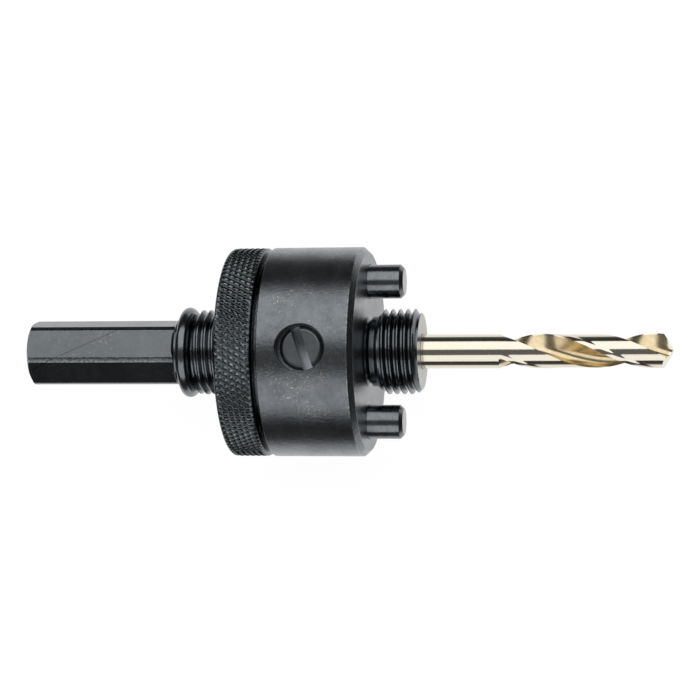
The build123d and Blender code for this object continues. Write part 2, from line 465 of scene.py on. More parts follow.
# A new metal with its tree, its shader and Object coordinates at hand
def newMaterial(name, roughness):
    material = bpy.data.materials.new(name)
    material.use_nodes = True
    tree = material.node_tree
    shader = tree.nodes["Principled BSDF"].inputs
    shader["Metallic"].default_value = 1.0
    shader["Roughness"].default_value = roughness
    place = tree.nodes.new("ShaderNodeTexCoord").outputs["Object"]
    return material, tree, shader, place


# The outputs of a group placed in a material, fed with coordinates and its own values
def useGroup(tree, group, vector, values):
    inputs = {"Vector": vector} | values
    return addNode(tree, "ShaderNodeGroup", inputs, node_tree=group).outputs


# Black oxide on steel: a dark bluish metal whose tone and gloss drift in patches, with
# lathe marks, shallow dents, pale specks, and edges and crests painted paler where the piece has
# them: worn bare on some pieces, a painted highlight on others
def makeBlackOxide(name, look):
    material, tree, shader, place = newMaterial(name, look["roughness"])
    tone = useGroup(tree, oxideTone, place, {"Patch Size": look["patchSize"]})
    marks = useGroup(tree, turnedMarks, place, {"Fineness": look["fineness"]})
    specks = useGroup(tree, scuffs, place, {"Amount": look["specks"]})
    colour = mixColours(tree, tone["Tone"], look["dark"], look["pale"])
    colour = mixColours(tree, specks["Mask"], colour, look["scuffColour"])
    # Pale edges and crests: oxide worn bare, and painted highlights where a finish uses them as
    # glints
    if look["rubbedAndGlinting"]:
        edge = addNode(tree, "ShaderNodeAttribute", attribute_name="edge").outputs["Fac"]
        rubsAndGlints = useGroup(tree, rubAndGlint, place, {"Edge": edge, "Amount": look["rubbedAndGlinting"]})
        colour = mixColours(tree, rubsAndGlints["Mask"], colour, look["wearAndGlintColour"])
    if look["hairline"]:
        mark = useGroup(tree, hairline, place, look["hairline"])
        colour = mixColours(tree, mark["Mask"], colour, look["cutColour"])
    feed(tree, colour, shader["Base Color"])
    low, high = look["roughness"] - look["glossier"], look["roughness"] + look["duller"]
    feed(tree, remap(tree, marks["Streak"], 0.0, 1.0, low, high), shader["Roughness"])
    knocks = useGroup(tree, dents, place, {"Dent Size": look["dentSize"]})
    hollow = bumpNormal(tree, knocks["Height"], look["dentDepth"])
    normal = bumpNormal(tree, marks["Height"], look["markDepth"], before=hollow)
    feed(tree, normal, shader["Normal"])
    return material


oxideLook = {
    "dark": (0.1, 0.11, 0.117, 1),
    "pale": (0.225, 0.24, 0.258, 1),
    "scuffColour": (0.5, 0.43, 0.37, 1),
    "wearAndGlintColour": (0.6, 0.56, 0.5, 1),
    "roughness": 0.25,
    "glossier": 0.03,  # how far the roughness falls and rises along the lathe marks
    "duller": 0.05,
    "patchSize": 90.0,
    "fineness": 2600.0,
    "markDepth": 0.01,
    "dentSize": 1700.0,
    "dentDepth": 0.034,
    "specks": 0.4,
    "rubbedAndGlinting": 0.0,
    "hairline": None,
    "cutColour": (0.04, 0.04, 0.045, 1),
}
turnedLook = {"specks": 1.5, "rubbedAndGlinting": 0.5, "dentDepth": 0.045}
faceLook = {"roughness": 0.3, "specks": 0.2, "markDepth": 0.02}
# Paler finish for the end faces of the nose and the pins
paleEndLook = {
    "dark": (0.34, 0.33, 0.31, 1),
    "pale": (0.44, 0.43, 0.41, 1),
    "roughness": 0.3,
    "specks": 0.6,
}
# Threads, collar and neck: a darker copy of the oxide, whose extra darkness is painted shade of the
# thread grooves
threadLook = {
    "dark": (0.1, 0.112, 0.12, 1),
    "pale": (0.15, 0.166, 0.18, 1),
    "roughness": 0.17,
    "specks": 0.2,
    "rubbedAndGlinting": 0.12,
}
# Knurl: the darker base is painted shade of the grooves, and the pale blue-grey crests are painted
# highlights on top of their wear
knurlLook = {
    "dark": (0.045, 0.052, 0.054, 1),
    "pale": (0.075, 0.085, 0.09, 1),
    "roughness": 0.2,
    "specks": 0.3,
    "rubbedAndGlinting": 1.0,
    "wearAndGlintColour": (0.36, 0.4, 0.42, 1),
}
# Hexagon bar: the turned corners are painted a pale grey-green, a painted highlight along with wear
barLook = {
    "dark": (0.105, 0.115, 0.122, 1),
    "pale": (0.145, 0.156, 0.165, 1),
    "roughness": 0.22,
    "specks": 0.5,
    "markDepth": 0.004,
    "dentDepth": 0.02,
    "rubbedAndGlinting": 1.6,
    "wearAndGlintColour": (0.22, 0.25, 0.25, 1),
    "hairline": {"Slope": 0.451, "Offset": 0.02544, "Start": -0.0644, "End": -0.046},
}
pinLook = {"roughness": 0.2, "specks": 0.3, "dentDepth": 0.007}
springLook = {"roughness": 0.2, "specks": 0.0, "markDepth": 0.003, "dentDepth": 0.004}
screwLook = {"roughness": 0.3, "specks": 0.3, "dark": (0.14, 0.15, 0.157, 1), "dentDepth": 0.02}
turnedOxide = makeBlackOxide("turnedOxide", oxideLook | turnedLook)
faceOxide = makeBlackOxide("faceOxide", oxideLook | faceLook)
paleEndOxide = makeBlackOxide("paleEndOxide", oxideLook | paleEndLook)
threadOxide = makeBlackOxide("threadOxide", oxideLook | threadLook)
knurlOxide = makeBlackOxide("knurlOxide", oxideLook | knurlLook)
barOxide = makeBlackOxide("barOxide", oxideLook | barLook)
pinOxide = makeBlackOxide("pinOxide", oxideLook | pinLook)
springOxide = makeBlackOxide("springOxide", oxideLook | springLook)
screwOxide = makeBlackOxide("screwOxide", oxideLook | screwLook)
print("black oxide finishes made")


stem = {
    "flats": 11.11,
    "hexTurn": 45.0,
    "cornerRadius": 6.149,
    "flatColumns": 22,
    "cornerColumns": 6,
    "edgeHold": 0.008,
    "endRadius": 5.4,
    "endSlope": 0.6,
    "collarWidth": 1.15,
    "collarRadius": 6.43,
    "collarChamfer": 0.62,
    "grooveRadius": 6.035,
    "threadChamfer": 0.9,
    "crestX": -30.2,
    "boreRadius": drillRadius + 0.05,
    "boreGap": 0.1,
    "boreCone": 1.94,
    "insideBarrel": 0.6,
}
hexEnd = bodyLow[0]
barrelRear = -17.6
rearThreadEnd = ringHigh[0] + 0.05
collarFront = ringLow[0] - 0.05
hexFront = collarFront - stem["collarWidth"]


# Angles of one side of the hexagon from the middle of its flat, with two close together
# at each edge of the turned corner, repeated for the six sides as the bar stands
def hexTurns():
    edge, hold = acos(stem["flats"] / 2 / stem["cornerRadius"]), stem["edgeHold"]
    flat = np.linspace(-edge + hold, edge - hold, stem["flatColumns"])
    corner = np.linspace(edge + hold, pi / 3 - edge - hold, stem["cornerColumns"])
    side = np.concatenate([[-edge], flat, [edge], corner])
    turns = np.concatenate([side + k * pi / 3 for k in range(6)])
    return turns + radians(stem["hexTurn"]) + pi / 6


# Radius of the hexagon in each direction: half its flats over the cosine of the angle
# from the flat's middle, but no more than the radius that its corners are turned to
def hexRadius(turns):
    away = np.abs((turns - radians(stem["hexTurn"])) % (pi / 3) - pi / 6)
    return np.minimum(stem["flats"] / 2 / np.cos(away), stem["cornerRadius"])


# Hexagon bar with its coned end, collar, ring groove, rear thread and the bore's end. The
# collar's chamfer is a cone at 45 degrees, and the bar's corners run out on it
def makeStem():
    turns = hexTurns()
    hexagon = hexRadius(turns)
    still = np.zeros_like(turns)
    cone = hexEnd + (hexagon - stem["endRadius"]) * stem["endSlope"]
    rows = [(hexEnd + still, still)]
    rows += [(hexEnd + still, share * stem["endRadius"] + still) for share in (0.5, 0.97, 1.0)]
    footRadius = stem["collarRadius"] - stem["collarChamfer"]
    foot = np.maximum(hexagon, footRadius)
    footX = hexFront + foot - footRadius
    rows += [(cone + (footX - cone) * share, hexagon) for share in np.linspace(0, 1, 9)]
    rows.append((footX, foot))
    collar = softOutline(
        (
            (hexFront, footRadius, 0),
            (hexFront + stem["collarChamfer"], stem["collarRadius"], 0.06),
            (collarFront, stem["collarRadius"], 0.08),
            (collarFront, stem["grooveRadius"], 0),
            (rearThreadEnd, stem["grooveRadius"], 0),
        ),
        closed=False,
    )
    rows += [(x + still, r + still) for x, r in collar[1:]]
    rootRadius = threadSettings["outside"] - stem["threadChamfer"]
    inside = barrelRear + stem["insideBarrel"]
    x, r = threadRows(
        rearThreadEnd,
        inside,
        stem["crestX"],
        turns,
        lambda x: rootRadius + x - rearThreadEnd,
    )
    before, threaded = len(rows), len(x)
    rows += list(zip(x, r))
    bore, boreEnd = stem["boreRadius"], drillLow[0] - stem["boreGap"]
    inner = ((inside, bore), (boreEnd, bore), (boreEnd - stem["boreCone"], 0.0))
    rows += [(station + still, radius + still) for station, radius in inner]
    grid = np.stack([aroundAxis(x, r, turns) for x, r in rows])
    seam = threadSeam(before, threaded, len(inner))
    item = meshObject("hexShank", grid, gridFaces(len(rows), len(turns), False, seam))
    markCrests(item, rearThreadEnd, barrelRear)
    return item


# Writes the pale edges: 1 on the thread's crests between two stations, which show as wear, and on
# the turned corners of the hexagon, which show as a painted highlight along with wear, and 0
# elsewhere
def markCrests(item, start, end):
    points = meshPoints(item)
    radius = np.hypot(points[:, 1], points[:, 2])
    high = np.clip((radius - threadSettings["outside"] + 0.25) / 0.2, 0, 1)
    high *= (points[:, 0] > start) & (points[:, 0] < end)
    corner = (points[:, 0] < hexFront) & (radius > stem["cornerRadius"] - 0.01)
    writeEdges(item, np.maximum(high, corner))


barrel = {
    "columns": 288,
    "rows": 16,
    "frontChamfer": 1.0,
    "rearEdge": 0.12,
    "edgeRound": 0.16,
    "edgeHold": 0.15,
    "pinHole": 3.275,
    "screwHole": 4.02,
    "mouthRadius": 4.4,
    "mouthDepth": 2.5,
    "mouthFlare": 0.25,
    "flareDepth": 0.51,
    "rimWear": 0.09,
}


# A short thick drum with chamfered ends, bored for the drill, the pins and the screw
def makeBarrel():
    soft, bore = barrel["edgeRound"], stem["boreRadius"]
    outline = softOutline(
        (
            (barrelRear, bore, 0),
            (barrelRear, barrelRadius - barrel["rearEdge"], soft),
            (barrelRear + barrel["rearEdge"], barrelRadius, soft),
            (-barrel["frontChamfer"], barrelRadius, soft),
            (0, barrelRadius - barrel["frontChamfer"], soft),
            (0, bore, 0),
        ),
        hold=barrel["edgeHold"],
    )
    split = int(np.argmax(np.diff(outline[:, 0])))
    extra = np.linspace(outline[split], outline[split + 1], barrel["rows"] + 1)[1:-1]
    outline = np.insert(outline, split + 1, extra, axis=0)
    item = latheObject("barrel", outline, barrel["columns"])
    for side in (1, -1):
        pinHole = barrel["pinHole"]
        hole = ((barrelRear - 1, 0), (barrelRear - 1, pinHole), (1, pinHole), (1, 0))
        combine(item, latheObject("pinHole", hole, 96, False, side * pinCircleRadius), "DIFFERENCE")
    floor = barrelRadius - barrel["mouthDepth"]
    hole = (
        (bore - 1, 0),
        (bore - 1, barrel["screwHole"]),
        (floor, barrel["screwHole"]),
        (floor, barrel["mouthRadius"]),
        (barrelRadius - barrel["flareDepth"], barrel["mouthRadius"]),
        (barrelRadius, barrel["mouthRadius"] + barrel["mouthFlare"]),
        (barrelRadius + 2, barrel["mouthRadius"] + barrel["mouthFlare"]),
        (barrelRadius + 2, 0),
    )
    combine(item, uprightLathe("screwHole", hole), "DIFFERENCE")
    points = meshPoints(item)
    radius = np.hypot(points[:, 1], points[:, 2])
    front = np.hypot(points[:, 0] + barrel["frontChamfer"], radius - barrelRadius)
    rear = np.hypot(points[:, 0] - barrelRear, radius - barrelRadius)
    writeEdges(item, np.clip(1.6 - np.minimum(front, rear) / barrel["rimWear"], 0, 1))
    return item


nose = {
    "columns": 216,
    "undercutRadius": 5.85,
    "undercutWidth": 0.8,
    "undercutFloor": 0.1,
    "neckRadius": 6.5,
    "neckLength": 1.73,
    "threadChamfer": 0.9,
    "crestX": 4.48,
    "boreMouth": 0.2,
    "insideBarrel": 0.4,
}


# Coned undercut, and a neck that rises at 45 degrees into the nose thread, whose end
# is chamfered
def makeNose():
    turns = evenTurns(nose["columns"])
    still = np.zeros_like(turns)
    noseEnd, neckEnd = bodyHigh[0], nose["neckLength"]
    endRadius = threadSettings["outside"] - nose["threadChamfer"]
    start, bore, mouth = -nose["insideBarrel"], stem["boreRadius"], nose["boreMouth"]
    neck = softOutline(
        (
            (start, bore, 0),
            (start, nose["neckRadius"], 0),
            (0, nose["neckRadius"], 0),
            (nose["undercutWidth"] - nose["undercutFloor"], nose["undercutRadius"], 0.05),
            (nose["undercutWidth"], nose["undercutRadius"], 0),
            (nose["undercutWidth"], nose["neckRadius"], 0.08),
            (neckEnd - 0.01, nose["neckRadius"], 0),
        ),
        closed=False,
    )
    rows = [(x + still, r + still) for x, r in neck]

    def envelope(x):
        return np.minimum(nose["neckRadius"] + x - neckEnd, endRadius + noseEnd - x)

    x, r = threadRows(neckEnd, noseEnd, nose["crestX"], turns, envelope)
    before, threaded = len(rows), len(x)
    rows += list(zip(x, r))
    inner = ((noseEnd, endRadius - 0.06), (noseEnd, bore + mouth), (noseEnd - mouth, bore))
    rows += [(station + still, radius + still) for station, radius in inner]
    grid = np.stack([aroundAxis(x, r, turns) for x, r in rows])
    seam = threadSeam(before, threaded, len(inner))
    item = meshObject("nose", grid, gridFaces(len(rows), len(turns), True, seam))
    markCrests(item, neckEnd, noseEnd)
    return item


stemPiece, barrelPiece, nosePiece = makeStem(), makeBarrel(), makeNose()
fitPiece(stemPiece, "arbor", "arbor_body", threadOxide)
fitPiece(barrelPiece, "arbor", "arbor_body", turnedOxide)
fitPiece(nosePiece, "arbor", "arbor_body", threadOxide)
finishFaces(stemPiece, barOxide, lambda centres, normals: centres[:, 0] < hexFront)
finishFaces(barrelPiece, faceOxide, lambda centres, normals: np.abs(normals[:, 0]) > 0.9)
finishFaces(nosePiece, paleEndOxide, lambda centres, normals: centres[:, 0] > bodyHigh[0] - 0.005)
print("arbor body made")


stopRing = {"steps": 160, "wireColumns": 28, "opening": 12.0, "endRound": 0.12}


# Round wire bent to a circle: at each angle of the arc a small circle stands across
# it, and at the two ends the circle shrinks to the middle to close the wire
def makeStopRing():
    wire = (ringHigh[0] - ringLow[0]) / 2
    middle = (ringLow[0] + ringHigh[0]) / 2
    mean = (ringHigh[1] - ringLow[1]) / 2 - wire
    half = radians(stopRing["opening"] / 2)
    arc = np.linspace(-pi / 2 + half, 3 * pi / 2 - half, stopRing["steps"])
    first, last = arc[0], arc[-1]
    arc = np.concatenate([[first, first, first + 0.01], arc[1:-1], [last - 0.01, last, last]])
    size = np.full(len(arc), wire)
    size[[0, -1]], size[[1, -2]] = 0, wire - stopRing["endRound"]
    around = evenTurns(stopRing["wireColumns"])[None, :]
    radius = mean + size[:, None] * np.cos(around)
    grid = aroundAxis(middle + size[:, None] * np.sin(around), radius, arc[:, None])
    return meshObject("stopRing", grid, gridFaces(len(arc), stopRing["wireColumns"], False))


fitPiece(makeStopRing(), "arbor", "stop_ring", springOxide)
print("stop ring made")


nut = {
    "diamonds": 100,
    "columnsEach": 8,
    "rowsEach": 8,
    "grooveAngle": 30.0,
    "grooveDepth": 0.45,
    "crossDepth": 0.6,  # share of the depth that the second family of grooves has
    "crestShare": 0.07,
    "edgeChamfer": 0.4,
    "rearLand": 0.4,
    "fadeLength": 0.9,
    "boreRadius": 7.9875,
    "boreChamfer": 0.4,
    "lip": 0.7,
    "recessRadius": 17.3,
    "seatRadius": 18.0,
    "seatWidth": 1.1,
    "recessDepth": 3.7,
}


# Depth of one family of grooves at a count of pitches: 1 in the groove, 0 on the crest
def grooveDepth(count):
    away = np.abs(count - np.round(count))
    return 1 - np.clip(away / (0.5 - nut["crestShare"]), 0, 1)


# Drum whose rim carries two crossed families of slanting grooves, one deeper than the
# other, so that what is left between them are small pyramids. Both ends fall off in a
# chamfer, where the grooves fade, and the front is hollowed for the pin plate and its ring
def makeNut():
    outside = nutHigh[1]
    turns = evenTurns(nut["diamonds"] * nut["columnsEach"])
    still = np.zeros_like(turns)
    length = 2 * pi * outside / nut["diamonds"] / tan(radians(nut["grooveAngle"]))
    step = length / nut["rowsEach"]
    middle = (nutLow[0] + nutHigh[0]) / 2
    count = int((nutHigh[0] - nutLow[0]) / 2 / step)
    x = middle + np.arange(-count, count + 1) * step
    x = np.unique(np.concatenate([[nutLow[0]], x, [nutHigh[0]]]).round(5))[:, None]
    around = nut["diamonds"] * turns[None, :] / (2 * pi)
    along = (x - middle) / length
    crossed = nut["crossDepth"] * grooveDepth(around + along)
    groove = np.maximum(crossed, grooveDepth(around - along))
    fromEnd = np.minimum(x - nutLow[0], nutHigh[0] - x)
    chamfer = outside - np.maximum(nut["edgeChamfer"] - fromEnd, 0)
    depth = nut["grooveDepth"] * np.clip(fromEnd / nut["fadeLength"], 0, 1)
    r = np.minimum(outside - depth * groove, chamfer)
    rows = [(station + still, radius) for station, radius in zip(x[:, 0], r)]
    seatFront = nutHigh[0] - nut["lip"]
    seatRear = seatFront - nut["seatWidth"]
    floor = nutHigh[0] - nut["recessDepth"]
    for station, radius in (
        (nutHigh[0], nut["recessRadius"]),
        (seatFront, nut["recessRadius"]),
        (seatFront, nut["seatRadius"]),
        (seatRear, nut["seatRadius"]),
        (seatRear, nut["recessRadius"]),
        (floor, nut["recessRadius"]),
        (floor, nut["boreRadius"]),
        (nutLow[0] + nut["boreChamfer"], nut["boreRadius"]),
        (nutLow[0], nut["boreRadius"] + nut["boreChamfer"]),
        (nutLow[0], outside - nut["edgeChamfer"] - nut["rearLand"]),
    ):
        rows.append((station + still, radius + still))
    grid = np.stack([aroundAxis(x, r, turns) for x, r in rows])
    item = meshObject("knurledNut", grid, gridFaces(len(rows), len(turns), True), 50.0)
    # Crests of the knurl, which its finish paints pale as painted highlights
    points = meshPoints(item)
    radius = np.hypot(points[:, 1], points[:, 2])
    writeEdges(item, np.clip((radius - outside + 0.2) / 0.18, 0, 1))
    return item


fitPiece(makeNut(), "nut", "knurled_nut", knurlOxide)
print("knurled nut made")


drivePin = {
    "columns": 96,
    "radius": 3.175,
    "tailRadius": 2.5,
    "guideRadius": 3.225,
    "guideCone": 0.1,
    "endChamfer": 0.7,
    "edgeRound": 0.15,
}


# Turned pin: riveted tail, guided length and a thinner free end with a chamfer
def makeDrivePin(name, side):
    radius, soft = drivePin["radius"], drivePin["edgeRound"]
    reach, chamfer = pinHigh[0], drivePin["endChamfer"]
    outline = softOutline(
        (
            (pinLow[0], 0, 0),
            (pinLow[0], drivePin["tailRadius"], 0),
            (plateFront, drivePin["tailRadius"], 0),
            (plateFront, drivePin["guideRadius"], 0),
            (-drivePin["guideCone"], drivePin["guideRadius"], 0),
            (0, radius, 0),
            (reach - chamfer, radius, soft),
            (reach, radius - chamfer, soft),
            (reach, 0, 0),
        ),
        closed=False,
    )
    return latheObject(name, outline, drivePin["columns"], False, side * pinCircleRadius)


for name, side, node in (("upperPin", 1, "drive_pin_1"), ("lowerPin", -1, "drive_pin_2")):
    pinPiece = makeDrivePin(name, side)
    fitPiece(pinPiece, "pins", node, pinOxide)
    finishFaces(pinPiece, paleEndOxide, lambda centres, normals: centres[:, 0] > pinHigh[0] - 0.005)
for name in ("pin_plate", "plate_ring"):
    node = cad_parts[name]
    node.data.materials.clear()
    node.data.materials.append(turnedOxide)
print("drive pins and plate made")


setScrew = {
    "tipChamfer": 1.3,
    "faceChamfer": 0.55,
    "faceRound": 0.5,
    "slotWidth": 1.75,
    "slotDepth": 2.0,
    "slotTurn": -71.7,
    "sawRadius": 15.0,
}


# Tool that saws the slot: an arc of the saw's radius along the slot's floor, with
# straight sides. Height above the lowest point is the square of the reach over twice
# the radius
def slotCutter(radius, low, high):
    half, turn = setScrew["slotWidth"] / 2, radians(setScrew["slotTurn"])
    reach = np.linspace(-1.3 * radius, 1.3 * radius, 33)
    height = low + reach**2 / (2 * setScrew["sawRadius"])
    reach = np.concatenate([reach, [reach[-1], reach[0]]])
    height = np.concatenate([height, [high, high]])
    points = [
        np.stack(
            [
                screwCentre + reach * cos(turn) - side * sin(turn),
                reach * sin(turn) + side * cos(turn),
                height,
            ],
            -1,
        )
        for side in (-half, half)
    ]
    count = len(reach)
    faces = gridFaces(2, count, False).tolist()
    faces += [list(range(count)), list(range(count, 2 * count))]
    return meshObject("slot", np.concatenate(points), faces)


# Headless screw with a rounded rim and a slot sawn across its face
def makeSetScrew():
    radius, face, tip = (screwHigh[0] - screwLow[0]) / 2, screwHigh[2], screwLow[2]
    outline = softOutline(
        (
            (tip, 0, 0),
            (tip, radius - setScrew["tipChamfer"], 0),
            (tip + setScrew["tipChamfer"], radius, 0),
            (face - setScrew["faceChamfer"], radius, 0.05),
            (face, radius - setScrew["faceChamfer"], setScrew["faceRound"]),
            (face, 0, 0),
        ),
        closed=False,
        steps=6,
    )
    item = uprightLathe("setScrew", outline)
    combine(item, slotCutter(radius, face - setScrew["slotDepth"], face + 1), "DIFFERENCE")
    return item


fitPiece(makeSetScrew(), "screw", "set_screw", screwOxide)
print("set screw made")


drill = {
    "columns": 96,
    "rows": 170,
    "rearChamfer": 0.5,
    "fluteLength": 31.8,
    "lead": 40.9,
    "fluteAngle": 91.0,
    "edgeX": 42.4,
    "edgeTurn": 92.5,
    "web": 1.1,
    "webCorner": 0.5,
    "marginWidth": 0.7,
    "landStep": 0.1,
    "stepWidth": 0.6,
    "stepStart": 3.0,
    "runOutWheel": 15.0,
    "coreSlack": 0.15,
    "overlap": 0.6,  # of the lands with the shank
    "beyondTip": 0.2,
    "pointAngle": 118.0,
    "reliefAngle": 16.0,
}


# Half of the drill's cross-section as points: from the cutting corner straight in to
# the web, round the flute to the heel, along the relieved land, and up to the margin on
# a smooth step, whose height is three times the share squared less twice it cubed
def landOutline(step):
    half, outer = drill["web"] / 2, drillRadius - 0.004
    land = outer - step
    corner = np.arcsin(half / drillRadius)
    heel = corner + radians(drill["fluteAngle"])
    marginStart = pi + corner - drill["marginWidth"] / drillRadius
    stepTurn = drill["stepWidth"] / drillRadius

    def polar(radius, turns):
        return np.stack([radius * np.cos(turns), radius * np.sin(turns)], -1)

    tip = polar(outer, corner)
    inner = np.array([drill["webCorner"], half])
    edge = tip + (inner - tip) * np.linspace(0, 1, 9)[:, None]
    far = polar(land, heel)
    rise, run = far[1] - inner[1], far[0] - inner[0]
    bend = (rise**2 + run**2) / (2 * rise)
    centre = inner + np.array([0, bend])
    start, end = -pi / 2, np.arctan2(far[1] - centre[1], far[0] - centre[0])
    sweep = np.linspace(start, end - 2 * pi if end > start else end, 25)[1:]
    flute = centre + polar(bend, sweep)
    back = polar(land, np.linspace(heel, marginStart - stepTurn, 17)[1:])
    share = np.linspace(0, 1, 9)[1:, None]
    rise = polar(1.0, marginStart - stepTurn * (1 - share[:, 0]))
    rise = rise * (land + step * share**2 * (3 - 2 * share))
    margin = polar(outer, np.linspace(marginStart, pi + corner, 8)[1:-1])
    return np.concatenate([edge, flute, back, rise, margin])


# The lands twisted along the axis: the section turns by a full turn in each lead, and
# over the first few millimetres it goes from the shank's full radius to the relieved one
def makeLands(start, end, sectionTurn):
    x = np.linspace(start, end, drill["rows"])[:, None]
    full, relieved = (landOutline(step) for step in (0.0, drill["landStep"]))
    share = np.clip((x - start) / drill["stepStart"] - 0.2, 0, 1)[:, :, None]
    section = full * (1 - share) + relieved * share
    whole = np.concatenate([section, -section], axis=1)
    turn = np.arctan2(whole[:, :, 1], whole[:, :, 0])
    radius = np.hypot(whole[:, :, 0], whole[:, :, 1])
    turned = turn + sectionTurn + 2 * pi * (x - start) / drill["lead"]
    grid = aroundAxis(x, radius, turned)
    columns = grid.shape[1]
    faces = gridFaces(len(x), columns, False).tolist()
    faces += [list(range(columns)), list(range((len(x) - 1) * columns, len(x) * columns))]
    return meshObject("pilotDrill", grid, faces)


# A slab that cuts away what lies beyond one flank of the point
def flankSlab(tipX, normal, size=12.0):
    normal = normal / np.linalg.norm(normal)
    side = np.cross(normal, [0.0, 0.3, 1.0])
    side /= np.linalg.norm(side)
    up = np.cross(normal, side)
    origin = np.array([tipX, 0.0, 0.0])
    points = [
        origin + normal * h + side * a * size + up * b * size
        for h in (0, size)
        for a, b in ((-1, -1), (1, -1), (1, 1), (-1, 1))
    ]
    sides = [(3, 2, 1, 0), (4, 5, 6, 7)]
    sides += [(k, (k + 1) % 4, (k + 1) % 4 + 4, k + 4) for k in range(4)]
    return meshObject("flank", points, sides)


# Shank that runs out into a core between the flutes, joined to the twisted lands
def makeDrill():
    tipX, rear = drillHigh[0], drillLow[0]
    fluteStart = tipX - drill["fluteLength"]
    slope = tan(radians(90 - drill["pointAngle"] / 2))
    fall = tan(radians(drill["reliefAngle"]))
    cornerX = tipX - drillRadius * slope
    cornerTurn = np.arcsin(drill["web"] / 2 / drillRadius)
    edgeTurn = radians(drill["edgeTurn"]) + 2 * pi * (cornerX - drill["edgeX"]) / drill["lead"]
    frameTurn = edgeTurn - cornerTurn
    start = fluteStart - drill["overlap"]
    sectionTurn = frameTurn - 2 * pi * (cornerX - start) / drill["lead"]
    item = makeLands(start, tipX + drill["beyondTip"], sectionTurn)
    across = np.array([0, cos(frameTurn), sin(frameTurn)])
    upward = np.array([0, -sin(frameTurn), cos(frameTurn)])
    for half in (1, -1):
        normal = np.array([1.0, 0, 0]) + half * slope * across - half * fall * upward
        combine(item, flankSlab(tipX, normal), "DIFFERENCE")
    depth = drillRadius - drill["web"] / 2 + drill["coreSlack"]
    runOut = sqrt(2 * drill["runOutWheel"] * depth)
    share = np.linspace(0, 1, 25)
    arcX = fluteStart + runOut * share
    arcR = drillRadius - depth * (1 - (1 - share) ** 2)
    chamfer = drill["rearChamfer"]
    outline = [(rear, 0), (rear, drillRadius - chamfer), (rear + chamfer, drillRadius)]
    outline += [(x, drillRadius) for x in np.linspace(rear + chamfer, fluteStart, 12)[1:-1]]
    outline += list(zip(arcX, arcR)) + [(arcX[-1], 0)]
    combine(item, latheObject("core", outline, drill["columns"], False), "UNION", 28.0)
    return item


drillLook = {
    "ground": (0.76, 0.71, 0.6, 1),
    "strawPale": (0.82, 0.7, 0.48, 1),
    "strawDeep": (0.6, 0.46, 0.25, 1),
    "groundGloss": 0.12,
    "fluteGloss": 0.26,
    "groundDepth": 0.13,
    "groundFade": 0.2,
    "flankDepth": 0.35,
    "flankFade": 0.1,
    "fineness": 3600.0,
    "patchSize": 330.0,
    "markDepth": 0.01,
    "markStrength": 0.15,
}


# Bright ground steel with a straw tint in the flutes. A point is in a flute where its
# distance from the axis is less than the land's, and where it lies behind the cone of
# the drill's point: x plus the cone's slope times that distance falls short of the tip
def makeDrillSteel():
    low, high = drillLook["groundGloss"], drillLook["fluteGloss"]
    material, tree, shader, place = newMaterial("drillSteel", low)
    marks = useGroup(tree, turnedMarks, place, {"Fineness": drillLook["fineness"]})
    tone = useGroup(tree, oxideTone, place, {"Patch Size": drillLook["patchSize"]})
    split, radius = fromAxis(tree, place)
    land = (drillRadius - drillLook["groundDepth"]) * mm
    belowLand = remap(tree, radius, land, land - drillLook["groundFade"] * mm)
    slope = tan(radians(90 - drill["pointAngle"] / 2))
    reach = calculate(tree, "MULTIPLY_ADD", radius, slope, split.outputs["X"])
    flank = (drillHigh[0] - drillLook["flankDepth"]) * mm
    behind = remap(tree, reach, flank, flank - drillLook["flankFade"] * mm)
    inFlute = calculate(tree, "MULTIPLY", belowLand, behind)
    straw = mixColours(tree, tone["Tone"], drillLook["strawPale"], drillLook["strawDeep"])
    feed(tree, mixColours(tree, inFlute, drillLook["ground"], straw), shader["Base Color"])
    feed(tree, remap(tree, inFlute, 0.0, 1.0, low, high), shader["Roughness"])
    depth, strength = drillLook["markDepth"], drillLook["markStrength"]
    feed(tree, bumpNormal(tree, marks["Height"], depth, strength), shader["Normal"])
    return material


fitPiece(makeDrill(), "drill", "pilot_drill", makeDrillSteel())
print("pilot drill made")


studio = {
    "floorHeight": -19.5,
    "floorSize": 6.0,
    "boxDistance": 0.55,
    "boxLength": 1.5,
    "boxRadiance": 1.3,
    "upperBox": (9.5, 67.0),  # edges as angles from +Z towards +Y
    "lowerBox": (-73.5, -28.0),
    "lowerShare": 0.88,
    "overheadShare": 0.07,  # of the dimmer ceiling between the two boxes
    "worldFill": 0.04,
    "paperGlow": 0.95,
    "paperShape": (0.6, 1.0, 0.0),  # the white paper is longer than it is wide
    "paperEdge": (44.0, 76.0),
    "paperColour": (0.8, 0.8, 0.8, 1),
    "shadeColour": (0.1, 0.1, 0.1, 1),  # what shows the shadow under the glow
}


